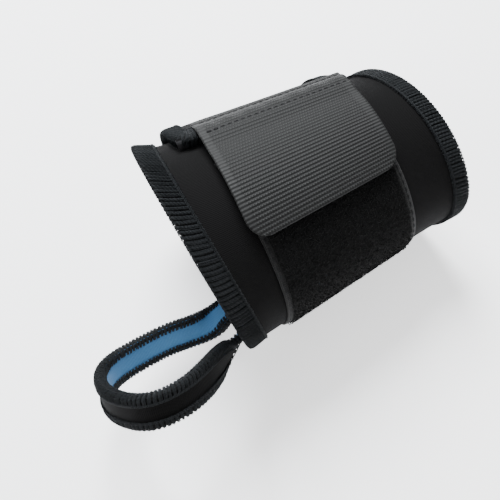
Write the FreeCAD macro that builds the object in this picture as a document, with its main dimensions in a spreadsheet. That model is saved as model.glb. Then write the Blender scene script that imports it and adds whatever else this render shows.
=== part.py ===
"""Wrist splint: a neoprene wrap with a tail strap, a hook tab, a thumb loop and a palmar stay.

Frame, in millimetres: +X runs up the forearm, -X to the fingers, +Z is the back of the hand,
-Y the thumb side. The origin is the centre of the wrist channel, at the middle of its length.
"""
import FreeCAD
import Part
import math
import os
from FreeCAD import Matrix, Placement, Rotation, Vector

os.makedirs("parts", exist_ok=True)
doc = FreeCAD.newDocument("wrist_splint")
sheet = doc.addObject("Spreadsheet::Sheet", "Sizes")

# ------------------------------------------------------------------ driving dimensions
SIZES = [
    ("distal_half_width", 37.9, "channel half width where the distal flare starts"),
    ("distal_half_height", 30.1, "channel half height there"),
    ("distal_side_radius", 21.0, "radius of the channel's sides there"),
    ("proximal_half_width", 32.2, "channel half width where the proximal flare starts"),
    ("proximal_half_height", 27.4, "channel half height there"),
    ("proximal_side_radius", 20.0, "radius of the channel's sides there"),
    ("palm_depth", 27.0, "depth of the channel's straight palm line under the origin"),
    ("straight_start", -33.5, "x where the straight middle starts"),
    ("straight_end", 36.0, "x where the straight middle ends"),
    ("distal_edge", -41.8, "x of the distal edge at mid height"),
    ("distal_lean_y", 0.038, "lean of the distal edge's plane across the wrist"),
    ("distal_lean_z", -0.19, "lean of the distal edge's plane over its height"),
    ("distal_flare_width", 6.3, "sideways flare, 20 mm past the straight middle"),
    ("distal_flare_height", 4.5, "half of the flare in height there"),
    ("proximal_edge", 54.6, "x of the proximal edge at mid height"),
    ("proximal_lean_y", -0.085, "lean of the proximal edge's plane across the wrist"),
    ("proximal_lean_z", 0.051, "lean of the proximal edge's plane over its height"),
    ("proximal_flare_width", 1.8, "sideways flare, 20 mm past the straight middle"),
    ("proximal_flare_height", 0.56, "half of the flare in height there"),
    ("lining_thickness", 0.45, "knitted lining on the skin side"),
    ("foam_thickness", 2.90, "neoprene foam"),
    ("face_thickness", 0.45, "jersey on the outside"),
    ("layer_gap", 0.05, "gap between the layers of one laminate"),
    ("sewn_gap", 0.15, "gap under the sewn ends of the tab and the thumb loop"),
    ("strap_gap", 0.30, "gap between pieces of different bodies"),
    ("overlock_width", 7.5, "width of the stitched edge band"),
    ("overlock_proud", 0.85, "how far the stitched edge stands off the laminate"),
    ("inner_edge_width", 9.0, "width of the stitched band at the wrap's inner end"),
    ("inner_edge_proud", 0.2, "how far that band stands off the laminate"),
    ("panel_start", -48.0, "angle of the wrap's inner end, from +Y towards +Z"),
    ("panel_end", 307.0, "angle of the wrap's outer end"),
    ("pile_left", -26.8, "x of the pile panel's distal edge"),
    ("pile_right", 31.6, "x of the pile panel's proximal edge"),
    ("pile_start", 84.0, "angle of the pile panel's edge under the tab"),
    ("pile_end", 214.0, "angle of the pile panel's other edge"),
    ("pile_backing", 0.7, "thickness of the pile panel's woven backing"),
    ("pile_height", 1.15, "height of the pile's loops"),
    ("selvedge", 2.2, "plain margin of the backing round the pile"),
    ("tail_left", -30.0, "x of the tail's distal edge at mid height"),
    ("tail_lean", -0.12, "lean of the tail's distal edge over its height"),
    ("tail_right", 35.0, "x of the tail's proximal edge"),
    ("tail_overlock_width", 6.0, "width of the tail's stitched edge band"),
    ("tail_pivot_y", 23.5, "y of the fold line at the tail's root"),
    ("tail_root_radius", 1.4, "radius of the seam bead on the fold line"),
    ("tail_root_reach", 2.3, "distance of the tail's root end from its fold line"),
    ("tail_seam_width", 7.0, "width of the tail's sewn root strip"),
    ("tail_root_thickness", 1.6, "thickness of that strip, pressed flat by its stitches"),
    ("tail_end", 67.5, "angle of the tail's free end"),
    ("tab_left", -27.6, "x of the hook tab's distal edge"),
    ("tab_right", 33.5, "x of the hook tab's proximal edge"),
    ("tab_lean", 0.089, "lean of the tab's side edges across the wrist"),
    ("tab_top", 58.5, "angle of the tab's sewn edge"),
    ("tab_fold", 71.0, "angle of the tab's fold line, just past the tail's end"),
    ("tab_settle", 9.0, "degrees over which the tab comes down onto the pile"),
    ("tab_row_1", 1.8, "distance of the first stitched row from the tab's sewn edge"),
    ("tab_row_2", 8.4, "distance of the second stitched row"),
    ("tab_end", 124.0, "angle of the tab's free edge"),
    ("tab_thickness", 1.0, "woven backing of the tab"),
    ("tab_fold_radius", 0.6, "radius of the rounded crease on the tab's fold line"),
    ("tab_corner", 9.0, "radius of the tab's free corners"),
    ("hook_thickness", 0.9, "hook field under the tab"),
    ("hook_margin", 2.0, "plain edge of the tab round the hook field"),
    ("stitch_size", 0.8, "width of a stitched row"),
    ("stitch_height", 0.35, "height of a stitched row"),
    ("pocket_left", -27.0, "x of the stay pocket's closed end"),
    ("pocket_right", 38.0, "x of the stay pocket's mouth"),
    ("pocket_width", 20.5, "width of the stay pocket"),
    ("pocket_flange", 2.75, "width of the pocket's sewn flanges"),
    ("pocket_wall", 0.7, "thickness of the stay pocket's fabric"),
    ("pocket_taper", 1.5, "how far each side of the pocket leans in over its depth"),
    ("stay_length", 60.0, "length of the palmar stay"),
    ("stay_width", 15.0, "width of the palmar stay"),
    ("stay_thickness", 1.5, "thickness of the palmar stay"),
    ("tip_cover", 0.25, "thickness of the dip on the stay's tips"),
    ("tip_length", 9.0, "length of the dipped tips"),
    ("stay_clearance", 0.25, "room round the dipped tips in the pocket"),
    ("loop_width", 11.5, "width of the thumb loop's strip"),
    ("loop_foam", 2.6, "thickness of the thumb loop's foam"),
    ("loop_lining", 0.45, "thickness of the thumb loop's lining"),
    ("loop_edge", 2.6, "width of each stitched edge of the thumb loop"),
    ("loop_edge_proud", 0.5, "how far those edges stand off the strip"),
    ("loop_reach", 44.0, "how far the loop reaches past its roots"),
    ("loop_bulge", 25.0, "how far the loop's outer strand swings out"),
    ("loop_tilt", 8.0, "turn of the loop's plane towards the back of the hand"),
    ("anchor_length", 11.0, "length of the loop's ends inside the wrap"),
    ("anchor_thickness", 1.1, "thickness of those ends"),
    ("anchor_inset", 1.0, "distance from the edge band to those ends"),
    ("bartack_width", 1.5, "width of the stitch bar across each end"),
    ("loop_near_angle", 207.0, "angle of the loop's root on the thumb side"),
    ("loop_far_angle", 246.0, "angle of the loop's root on the palm side"),
]
for row, (alias, number, note) in enumerate(SIZES, start=1):
    sheet.set(f"A{row}", note)
    sheet.set(f"B{row}", str(number))
    sheet.setAlias(f"B{row}", alias)
doc.recompute()


def value(expression):
    """The number that an expression over the sheet's aliases gives."""
    return float(sheet.evalExpression(expression))


def size(alias):
    return float(getattr(sheet, alias))


# ------------------------------------------------------------------ the wall's shape
FLARE_REACH = 20.0      # length over which a flare grows to its full size
SPLINE_STEP = 10.0      # degrees between the points of a section's curves
FINE_STEP = 3.0         # the same where the offset changes along the curve
LEAN_STEPS = 12         # rounds that settle a point onto a leaning plane
HALVINGS = 60           # rounds of a search by halves
PIECE_TURN = 0.1        # degrees between neighbouring pieces of one strap
CUT_PAST = 1.0          # how far a cut reaches past the surfaces it cuts
# fullness of the stitched edge band over its width, from the rim inwards
RIM_PROFILE = ((0.00, 0.35), (0.12, 0.80), (0.30, 1.00), (0.80, 1.00), (1.00, 0.86))
ROOT_ROWS = (0.2, 0.8)  # places of the two stitched rows across the tail's root strip
FLANGE_ROW = 0.6        # place of the stitched row across a pocket flange
ROW_SINK = 0.45         # share of a row's width that it drops on the curved flange
BARTACK_SHARE = 0.85    # length of a stitch bar over the width that it crosses


class Oval:
    """An oval of four arcs, and the points at any offset outside it."""

    def __init__(self, half_width, half_height, side_radius):
        self.side_radius = side_radius
        self.inset = half_width - side_radius
        rise = half_height - side_radius
        self.bulge = (self.inset ** 2 - rise ** 2) / (2 * rise)
        self.arch_radius = half_height + self.bulge
        self.join = self.bulge / math.hypot(self.bulge, self.inset)
        self.lift = half_height - size("palm_depth")

    def point(self, angle, offset):
        along, up = math.cos(angle), math.sin(angle)
        if abs(up) < self.join:
            centre = (math.copysign(self.inset, along), 0.0)
            radius = self.side_radius + offset
        else:
            centre = (0.0, -math.copysign(self.bulge, up))
            radius = self.arch_radius + offset
        return centre[0] + radius * along, centre[1] + radius * up + self.lift

    def radius(self, angle):
        """The radius of the arc at an angle."""
        return self.side_radius if abs(math.sin(angle)) < self.join else self.arch_radius


DISTAL = Oval(size("distal_half_width"), size("distal_half_height"), size("distal_side_radius"))
PROXIMAL = Oval(size("proximal_half_width"), size("proximal_half_height"),
                size("proximal_side_radius"))


def wall_point(x, angle, offset):
    """The point at one angle and one offset from the channel's surface, in the section at x."""
    start, end = size("straight_start"), size("straight_end")
    share = (x - start) / (end - start)
    near, far = DISTAL.point(angle, offset), PROXIMAL.point(angle, offset)
    y = near[0] + (far[0] - near[0]) * share
    z = near[1] + (far[1] - near[1]) * share
    past, side = (start - x, "distal") if x < start else (x - end, "proximal")
    flare = (max(past, 0.0) / FLARE_REACH) ** 2
    y += flare * size(side + "_flare_width") * math.cos(angle)
    z += flare * size(side + "_flare_height") * (1 + math.sin(angle))
    return Vector(x, y, z)


class Plane:
    """A plane across the wrap: where it crosses the X axis, and how it leans."""

    def __init__(self, place, lean_y=0.0, lean_z=0.0):
        self.place = place
        self.x = value(place)
        self.lean_y, self.lean_z = lean_y, lean_z
        self.normal = Vector(-lean_y, -lean_z, 1).normalize()
        self.right = Vector(1, 0, lean_y).normalize()
        self.up = self.normal.cross(self.right)

    def point(self, angle, offset):
        """The wall's point on this plane, as sketch coordinates."""
        x = self.x
        for _ in range(LEAN_STEPS):
            spot = wall_point(x, angle, offset)
            x = self.x + self.lean_y * spot.y + self.lean_z * spot.z
        local = Vector(spot.y, spot.z, x - self.x)
        return Vector(local.dot(self.right), local.dot(self.up), 0)

    def rotation(self):
        columns = (self.right, self.up, self.normal)
        rows = [[axis[index] for axis in columns] for index in range(3)]
        return Rotation(Matrix(*rows[0], 0, *rows[1], 0, *rows[2], 0, 0, 0, 0, 1))


def angle_at(y, x, offset):
    """The angle of the wall's point under a given y, on the palm side."""
    low, high = math.radians(-89), math.radians(-1)
    for _ in range(HALVINGS):
        middle = (low + high) / 2
        if wall_point(x, middle, offset).y < y:
            low = middle
        else:
            high = middle
    return math.degrees(middle)


# ------------------------------------------------------------------ helpers
BODIES = []


def new_body(name):
    body = doc.addObject("PartDesign::Body", name)
    body.Label = name
    BODIES.append(body)
    return body


def origin_plane(body, role):
    return next(item for item in body.Origin.OriginFeatures if item.Role == role)


def new_sketch(body, name, role, place="0", rotation=Rotation()):
    """A sketch on one of the body's own origin planes, moved along that plane's normal."""
    sketch = body.newObject("Sketcher::SketchObject", name)
    sketch.AttachmentSupport = [(origin_plane(body, role), "")]
    sketch.MapMode = "FlatFace"
    sketch.AttachmentOffset = Placement(Vector(0, 0, value(place)), rotation)
    sketch.setExpression("AttachmentOffset.Base.z", place)
    return sketch


def spline(points):
    curve = Part.BSplineCurve()
    curve.interpolate(points)
    return curve


def offset_at(offset, angle):
    return offset(angle) if callable(offset) else offset


def add_ring_section(sketch, plane, first, last, inner, outer):
    """The wall's section from one angle to another, between two offsets."""
    spacing = FINE_STEP if callable(outer) else SPLINE_STEP
    steps = max(3, round((last - first) / spacing))
    angles = [math.radians(first + (last - first) * step / steps) for step in range(steps + 1)]
    outside = [plane.point(angle, offset_at(outer, angle)) for angle in angles]
    inside = [plane.point(angle, offset_at(inner, angle)) for angle in angles]
    sketch.addGeometry(spline(outside), False)
    sketch.addGeometry(Part.LineSegment(outside[-1], inside[-1]), False)
    sketch.addGeometry(spline(inside[::-1]), False)
    sketch.addGeometry(Part.LineSegment(inside[0], outside[0]), False)


def loft(body, name, stations, cut=False):
    """A ruled loft through sections: (plane, first angle, last angle, inner, outer offset)."""
    sketches = []
    for number, (plane, first, last, inner, outer) in enumerate(stations):
        sketch = new_sketch(body, f"{name}_{number}", "YZ_Plane", plane.place, plane.rotation())
        add_ring_section(sketch, plane, first, last, inner, outer)
        sketches.append(sketch)
    kind = "PartDesign::SubtractiveLoft" if cut else "PartDesign::AdditiveLoft"
    feature = body.newObject(kind, name)
    feature.Profile = sketches[0]
    feature.Sections = sketches[1:]
    feature.Ruled = True
    body.Tip = feature
    return feature


def band(name, planes, first, last, inner, outer):
    """A piece of the wall with the same angles and offsets at every plane."""
    body = new_body(name)
    loft(body, name + "_loft", [(plane, first, last, inner, outer) for plane in planes])
    return body


def outline(sketch, points):
    for first, last in zip(points, points[1:] + points[:1]):
        sketch.addGeometry(Part.LineSegment(first, last), False)


def pad(body, sketch, length, name, cut=False, reverse=False):
    kind = "PartDesign::Pocket" if cut else "PartDesign::Pad"
    feature = body.newObject(kind, name)
    feature.Profile = sketch
    feature.setExpression("Length", length)
    feature.Reversed = reverse
    body.Tip = feature
    return feature


def cut_through(body, sketch, name):
    """Cuts a sketch's shape out of the body, all the way through in both directions."""
    feature = body.newObject("PartDesign::Pocket", name)
    feature.Profile = sketch
    feature.Type = "ThroughAll"
    feature.Midplane = True
    body.Tip = feature


# ------------------------------------------------------------------ offsets of the layers
def laminate(base):
    """The offsets of lining, foam and face, from the laminate's inner offset."""
    gap = size("layer_gap")
    lining = (base, base + size("lining_thickness"))
    foam = (lining[1] + gap, lining[1] + gap + size("foam_thickness"))
    face = (foam[1] + gap, foam[1] + gap + size("face_thickness"))
    return {"lining": lining, "foam": foam, "face": face}


PANEL = laminate(0.0)
PANEL_OUT = PANEL["face"][1]
TAIL = laminate(PANEL_OUT + size("strap_gap"))
TAIL_IN, TAIL_OUT = TAIL["lining"][0], TAIL["face"][1]


def above(layer, alias, gap="layer_gap"):
    """The offsets of a layer that lies on another with a gap."""
    inner = layer[1] + size(gap)
    return inner, inner + size(alias)


BACKING = above(PANEL["face"], "pile_backing")
PILE = above(BACKING, "pile_height")
PILE_STITCH = above(BACKING, "stitch_height")
HOOK = above(PILE, "hook_thickness", "strap_gap")
TAB = above(HOOK, "tab_thickness")
TAIL_EDGE = (TAIL_IN, TAIL_OUT + size("overlock_proud"))
TAB_SEWN = above(TAIL_EDGE, "tab_thickness", "sewn_gap")
TAB_STITCH = above(TAB_SEWN, "stitch_height")

DISTAL_LEAN = (size("distal_lean_y"), size("distal_lean_z"))
PROXIMAL_LEAN = (size("proximal_lean_y"), size("proximal_lean_z"))
PANEL_FIRST, PANEL_LAST = size("panel_start"), size("panel_end")


# ------------------------------------------------------------------ the wide panel
def panel_planes():
    return [Plane("Sizes.distal_edge + Sizes.overlock_width + Sizes.layer_gap", *DISTAL_LEAN),
            Plane("Sizes.straight_start"),
            Plane("Sizes.straight_end"),
            Plane("Sizes.proximal_edge - Sizes.overlock_width - Sizes.layer_gap",
                  *PROXIMAL_LEAN)]


def make_panel():
    inner_end = PANEL_FIRST + math.degrees(size("inner_edge_width") / DISTAL.arch_radius)
    for layer, (inner, outer) in PANEL.items():
        band("panel_" + layer, panel_planes(), inner_end, PANEL_LAST, inner, outer)
    proud = size("inner_edge_proud")
    band("inner_end_overlock", panel_planes(), PANEL_FIRST, inner_end - PIECE_TURN,
         -proud, PANEL_OUT + proud)


def make_edge_overlock(name, place, sign, lean):
    """The stitched band round one end of the wrap, rounded over its rim."""
    proud, width = size("overlock_proud"), size("overlock_width")
    middle = PANEL_OUT / 2
    half = PANEL_OUT / 2 + proud
    stations = []
    for share, fullness in RIM_PROFILE:
        plane = Plane(f"{place} + {sign * share * width:.4f}", *lean)
        stations.append((plane, PANEL_FIRST, PANEL_LAST,
                         middle - half * fullness, middle + half * fullness))
    body = new_body(name)
    loft(body, name + "_loft", stations if sign > 0 else stations[::-1])


make_panel()
make_edge_overlock("distal_overlock", "Sizes.distal_edge", 1, DISTAL_LEAN)
make_edge_overlock("proximal_overlock", "Sizes.proximal_edge", -1, PROXIMAL_LEAN)


# ------------------------------------------------------------------ the pile panel
def degrees_along(length, offset=PANEL_OUT):
    """The angle that a length along the top or the palm of the wall covers."""
    return math.degrees(length / (PROXIMAL.arch_radius + offset))


def make_frame(name, left, right, first, last, inner, outer, width):
    """A stitched row round a rectangle of the wall: its left edge to its right edge."""
    turn = degrees_along(width)
    body = new_body(name)
    rim = [Plane(left), Plane(right)]
    hole = [Plane(f"{left} + {width}"), Plane(f"{right} - {width}")]
    loft(body, name + "_rim", [(plane, first, last, inner, outer) for plane in rim])
    loft(body, name + "_hole", [(plane, first + turn, last - turn, inner - CUT_PAST,
                                 outer + CUT_PAST) for plane in hole], cut=True)
    return body


def make_pile():
    left, right = "Sizes.pile_left", "Sizes.pile_right"
    first, last = size("pile_start"), size("pile_end")
    inset = degrees_along(size("selvedge"))
    band("pile_backing", [Plane(left), Plane(right)], first, last, *BACKING)
    band("pile_loops", [Plane(left + " + Sizes.selvedge"), Plane(right + " - Sizes.selvedge")],
         first + inset, last - inset, *PILE)
    margin = (size("selvedge") - size("stitch_size")) / 2
    make_frame("pile_stitching", f"{left} + {margin}", f"{right} - {margin}",
               first + degrees_along(margin), last - degrees_along(margin), *PILE_STITCH,
               size("stitch_size"))


make_pile()


# ------------------------------------------------------------------ the tail strap
TAIL_MIDDLE = (TAIL_IN + TAIL_OUT) / 2


def tail_angle(plane, reach):
    """The angle on a plane at a distance round the wall from the tail's fold line."""
    x = plane.x - plane.lean_z * size("palm_depth")
    fold = angle_at(size("tail_pivot_y"), x, TAIL_MIDDLE)
    share = (x - size("straight_start")) / (size("straight_end") - size("straight_start"))
    share = min(max(share, 0.0), 1.0)
    arch = DISTAL.arch_radius + (PROXIMAL.arch_radius - DISTAL.arch_radius) * share
    return fold + math.degrees(reach / (arch + TAIL_MIDDLE))


def tail_fold_line():
    """The two ends of the tail's fold line."""
    ends = []
    for x in (size("straight_start"), size("straight_end")):
        angle = math.radians(angle_at(size("tail_pivot_y"), x, TAIL_MIDDLE))
        ends.append(wall_point(x, angle, TAIL_MIDDLE))
    return ends


def make_tail():
    reach = size("tail_root_reach")
    turn = degrees_along(size("tail_overlock_width"), TAIL_OUT)
    last = size("tail_end")
    left = "Sizes.tail_left + Sizes.tail_overlock_width"
    right = "Sizes.tail_right - Sizes.tail_overlock_width"
    lean = (0.0, size("tail_lean"))
    sides = [Plane(left + " + Sizes.layer_gap", *lean), Plane(right + " - Sizes.layer_gap")]
    for layer, (inner, outer) in TAIL.items():
        body = new_body("tail_" + layer)
        loft(body, f"tail_{layer}_loft",
             [(plane, tail_angle(plane, reach), last - turn - PIECE_TURN, inner, outer)
              for plane in sides])
    body = new_body("tail_overlock")
    rim = [Plane("Sizes.tail_left", *lean), Plane("Sizes.tail_right")]
    loft(body, "tail_overlock_rim",
         [(plane, tail_angle(plane, reach), last, *TAIL_EDGE) for plane in rim])
    loft(body, "tail_overlock_hole",
         [(plane, tail_angle(plane, -reach), last - turn, TAIL_IN - CUT_PAST,
           TAIL_EDGE[1] + CUT_PAST) for plane in (Plane(left, *lean), Plane(right))], cut=True)


def make_tail_root():
    """The sewn root strip on the wrap, its two stitched rows and the seam bead."""
    reach = size("tail_root_reach") + size("strap_gap")
    width = size("tail_seam_width")
    planes = [Plane("Sizes.tail_left + Sizes.tail_overlock_width / 2", 0.0, size("tail_lean")),
              Plane("Sizes.tail_right - Sizes.tail_overlock_width / 2")]
    inner = PANEL_OUT + size("layer_gap")
    outer = inner + size("tail_root_thickness")
    body = new_body("tail_root_strip")
    loft(body, "tail_root_strip_loft",
         [(plane, tail_angle(plane, -reach - width), tail_angle(plane, -reach), inner, outer)
          for plane in planes])
    low = outer + size("layer_gap") / 2
    high = low + size("stitch_height")
    for number, place in enumerate(ROOT_ROWS, start=1):
        body = new_body(f"tail_seam_stitching_{number}")
        middle = -reach - width * place
        half = size("stitch_size") / 2
        loft(body, body.Label + "_loft",
             [(plane, tail_angle(plane, middle - half), tail_angle(plane, middle + half),
               low, high) for plane in planes])
    start, end = tail_fold_line()
    along = (end - start).normalize()
    bead = doc.addObject("Part::Cylinder", "tail_seam_bead")
    bead.Label = "tail_seam_bead"
    bead.setExpression("Radius", "Sizes.tail_root_radius")
    bead.setExpression("Height", "Sizes.tail_right - Sizes.tail_left"
                       " + Sizes.tail_lean * Sizes.palm_depth")
    left = value("Sizes.tail_left - Sizes.tail_lean * Sizes.palm_depth")
    base = start + along * ((left - start.x) / along.x)
    bead.Placement = Placement(base, Rotation(Vector(0, 0, 1), along))
    BODIES.append(bead)


make_tail()
make_tail_root()


# ------------------------------------------------------------------ the hook tab
TAB_FOLD = math.radians(size("tab_fold"))


def settle(top, low):
    """The tab comes down from the tail's end onto the pile over a few degrees."""
    start, end = TAB_FOLD, TAB_FOLD + math.radians(size("tab_settle"))

    def offset(angle):
        share = min(max((angle - start) / (end - start), 0.0), 1.0)
        share = share * share * (3 - 2 * share)
        return top + (low - top) * share
    return offset


def tab_planes(margin="0"):
    return [Plane(f"Sizes.tab_left + {margin}", size("tab_lean")),
            Plane(f"Sizes.tab_right - {margin}", size("tab_lean"))]


def tab_fold_line():
    middle = (TAB_SEWN[0] + TAB_SEWN[1]) / 2
    return [wall_point(x, TAB_FOLD, middle)
            for x in (size("straight_start"), size("straight_end"))]


def add_crease(body):
    """The rounded crease along the tab's fold line, from one side of the tab to the other."""
    start, end = tab_fold_line()
    along = (end - start).normalize()
    crease = body.newObject("PartDesign::AdditiveCylinder", "tab_crease")
    crease.setExpression("Radius", "Sizes.tab_fold_radius")
    crease.setExpression("Height", "Sizes.tab_right - Sizes.tab_left")
    place = size("tab_left") + size("tab_lean") * start.y
    base = start + along * ((place - start.x) / along.x)
    crease.Placement = Placement(base, Rotation(Vector(0, 0, 1), along))
    body.Tip = crease


def round_corners(body, planes, angle, offset, radius):
    """Rounds the two corners of a strap's end that lies at one angle."""
    turn = Rotation(Vector(1, 0, 0), math.degrees(angle) - 90)
    back = turn.multVec(Vector(0, 1, 0))
    sketch = new_sketch(body, body.Label + "_corners", "XY_Plane", "0", turn)
    for plane, side in zip(planes, (-1, 1)):
        local = plane.point(angle, offset)
        spot = plane.right * local.x + plane.up * local.y
        corner = Vector(spot.z + plane.x, back.dot(Vector(0, spot.x, spot.y)), 0)
        inner = corner + Vector(-side * radius, radius, 0)
        high, low = inner + Vector(side * radius, 0, 0), inner - Vector(0, radius, 0)
        middle = inner + Vector(side, -1, 0) * radius * math.sqrt(0.5)
        sketch.addGeometry(Part.Arc(high, middle, low), False)
        past = 3.0
        chain = [low, low - Vector(0, past, 0),
                 Vector(high.x + side * past, low.y - past, 0),
                 high + Vector(side * past, 0, 0), high]
        for start, end in zip(chain, chain[1:]):
            sketch.addGeometry(Part.LineSegment(start, end), False)
    cut_through(body, sketch, body.Label + "_rounding")


def make_tab():
    fold, last = size("tab_fold"), size("tab_end")
    gap = degrees_along(2 * size("tab_fold_radius"), TAB_SEWN[0])
    band("tab_sewn_end", tab_planes(), size("tab_top"), fold - gap, *TAB_SEWN)
    body = band("hook_tab", tab_planes(), fold, last,
                settle(TAB_SEWN[0], TAB[0]), settle(TAB_SEWN[1], TAB[1]))
    add_crease(body)
    round_corners(body, tab_planes(), math.radians(last), TAB[0], size("tab_corner"))
    inset = degrees_along(size("hook_margin"), TAB[0])
    body = band("hook_field", tab_planes("Sizes.hook_margin"),
                fold + size("tab_settle"), last - inset, *HOOK)
    round_corners(body, tab_planes("Sizes.hook_margin"), math.radians(last - inset), HOOK[0],
                  size("tab_corner") - size("hook_margin"))
    for number, reach in enumerate((size("tab_row_1"), size("tab_row_2")), start=1):
        first = size("tab_top") + degrees_along(reach, TAB_SEWN[1])
        band(f"tab_stitch_row_{number}", tab_planes("Sizes.stitch_size"), first,
             first + degrees_along(size("stitch_size"), TAB_SEWN[1]), *TAB_STITCH)


make_tab()


# ------------------------------------------------------------------ the palmar stay
RIM_Z = -(size("palm_depth") + PANEL_OUT + size("overlock_proud") + size("layer_gap"))
TIP_ROOM = size("tip_cover") + size("stay_clearance")
STAY_TOP = RIM_Z - TIP_ROOM
STAY_BOTTOM = STAY_TOP - size("stay_thickness")
CAVITY_BOTTOM = STAY_BOTTOM - TIP_ROOM
POCKET_BOTTOM = CAVITY_BOTTOM - size("pocket_wall")


def palm_arc(half, offset):
    """The arc of the palm side at an offset, as three points from -half to +half."""
    radius = DISTAL.arch_radius + offset
    low = -size("palm_depth") - offset
    high = low + radius - math.sqrt(radius ** 2 - half ** 2)
    return Vector(-half, high, 0), Vector(0, low, 0), Vector(half, high, 0)


def make_pocket():
    body = new_body("stay_pocket")
    inner = PANEL_OUT + size("layer_gap")
    half = size("pocket_width") / 2
    flange = size("pocket_flange")
    wall = size("pocket_wall")
    sketch = new_sketch(body, "pocket_outline", "YZ_Plane", "Sizes.pocket_left")
    left, low, right = palm_arc(half + flange, inner)
    sketch.addGeometry(Part.Arc(left, low, right), False)
    foot = palm_arc(half, inner + wall)[2]
    toe = Vector(half - size("pocket_taper"), POCKET_BOTTOM, 0)
    ends = [right, right - Vector(0, wall, 0), foot, toe]
    mirrored = [Vector(-point.x, point.y, 0) for point in ends[::-1]]
    chain = ends + mirrored
    for first, last in zip(chain, chain[1:]):
        sketch.addGeometry(Part.LineSegment(first, last), False)
    pad(body, sketch, "Sizes.pocket_right - Sizes.pocket_left", "pocket_block")
    room = size("stay_width") / 2 + TIP_ROOM
    hole = new_sketch(body, "pocket_hole", "YZ_Plane", "Sizes.pocket_left + Sizes.pocket_wall")
    outline(hole, [Vector(-room, CAVITY_BOTTOM, 0), Vector(room, CAVITY_BOTTOM, 0),
                   Vector(room, RIM_Z, 0), Vector(-room, RIM_Z, 0)])
    pad(body, hole, "Sizes.pocket_right - Sizes.pocket_left", "pocket_cavity",
        cut=True, reverse=True)


def make_pocket_stitching():
    for number, side in ((1, -1), (2, 1)):
        body = new_body(f"pocket_stitching_{number}")
        place = size("pocket_width") / 2 + FLANGE_ROW * size("pocket_flange")
        half = size("stitch_size") / 2
        low = palm_arc(place + half, PANEL_OUT + 2 * size("layer_gap") + size("pocket_wall"))[0].y
        low -= size("stitch_size") * ROW_SINK
        sketch = new_sketch(body, body.Label + "_outline", "YZ_Plane",
                            "Sizes.pocket_left + Sizes.stitch_size")
        ys = sorted((side * (place - half), side * (place + half)))
        outline(sketch, [Vector(ys[0], low - size("stitch_height"), 0),
                         Vector(ys[1], low - size("stitch_height"), 0),
                         Vector(ys[1], low, 0), Vector(ys[0], low, 0)])
        pad(body, sketch, "Sizes.pocket_right - Sizes.pocket_left - 2 * Sizes.stitch_size",
            body.Label + "_row")


def add_stadium(sketch, left, right, half):
    """A strip with half-round ends."""
    sketch.addGeometry(Part.LineSegment(Vector(left, half, 0), Vector(right, half, 0)), False)
    sketch.addGeometry(Part.Arc(Vector(right, half, 0), Vector(right + half, 0, 0),
                                Vector(right, -half, 0)), False)
    sketch.addGeometry(Part.LineSegment(Vector(right, -half, 0), Vector(left, -half, 0)), False)
    sketch.addGeometry(Part.Arc(Vector(left, -half, 0), Vector(left - half, 0, 0),
                                Vector(left, half, 0)), False)


def make_stay():
    half = size("stay_width") / 2
    start = size("pocket_left") + size("pocket_wall") + TIP_ROOM + half
    end = start + size("stay_length") - 2 * half
    body = new_body("palmar_stay")
    sketch = new_sketch(body, "stay_outline", "XY_Plane", f"{STAY_BOTTOM}")
    add_stadium(sketch, start, end, half)
    pad(body, sketch, "Sizes.stay_thickness", "stay_strip")
    cover = size("tip_cover")
    tips = ((1, start - half - cover, start - half + size("tip_length")),
            (2, end + half - size("tip_length"), end + half + cover))
    for number, low, high in tips:
        body = new_body(f"stay_tip_{number}")
        sketch = new_sketch(body, f"tip_outline_{number}", "XY_Plane", f"{STAY_BOTTOM - cover}")
        add_stadium(sketch, start, end, half + cover)
        pad(body, sketch, "Sizes.stay_thickness + 2 * Sizes.tip_cover", f"tip_block_{number}")
        hole = new_sketch(body, f"tip_hole_{number}", "XY_Plane", f"{STAY_BOTTOM}")
        add_stadium(hole, start, end, half)
        pad(body, hole, "Sizes.stay_thickness", f"tip_socket_{number}", cut=True, reverse=True)
        rest = (high, end + 2 * half) if number == 1 else (start - 2 * half, low)
        trim = new_sketch(body, f"tip_trim_{number}", "XY_Plane", f"{STAY_BOTTOM - 2 * cover}")
        outline(trim, [Vector(rest[0], -2 * half, 0), Vector(rest[1], -2 * half, 0),
                       Vector(rest[1], 2 * half, 0), Vector(rest[0], 2 * half, 0)])
        pad(body, trim, "Sizes.stay_thickness + 4 * Sizes.tip_cover", f"tip_cut_{number}",
            cut=True, reverse=True)


make_pocket()
make_pocket_stitching()
make_stay()


# ------------------------------------------------------------------ the thumb loop
def loop_frame():
    """Roots and axes of the loop: out from the wrap, from far root to near root, across."""
    roots = []
    rim = Plane("Sizes.distal_edge", *DISTAL_LEAN)
    for alias in ("loop_near_angle", "loop_far_angle"):
        angle = math.radians(size(alias))
        x = rim.x
        for _ in range(LEAN_STEPS):
            spot = wall_point(x, angle, PANEL_OUT / 2)
            x = rim.x + rim.lean_y * spot.y + rim.lean_z * spot.z
        roots.append(spot)
    near, far = roots
    side = (near - far).normalize()
    level = Vector(-1, 0, 0).cross(side).normalize()
    tilt = math.radians(size("loop_tilt"))
    out = side.cross(level) * math.cos(tilt) + level * math.sin(tilt)
    across = out.cross(side)
    step = out * (size("loop_width") / 2 + 2 * size("strap_gap"))
    return near + step, far + step, out, side, across


LOOP_NEAR, LOOP_FAR, LOOP_OUT, LOOP_SIDE, LOOP_ACROSS = loop_frame()
LOOP_GAP = (LOOP_NEAR - LOOP_FAR).Length


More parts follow.
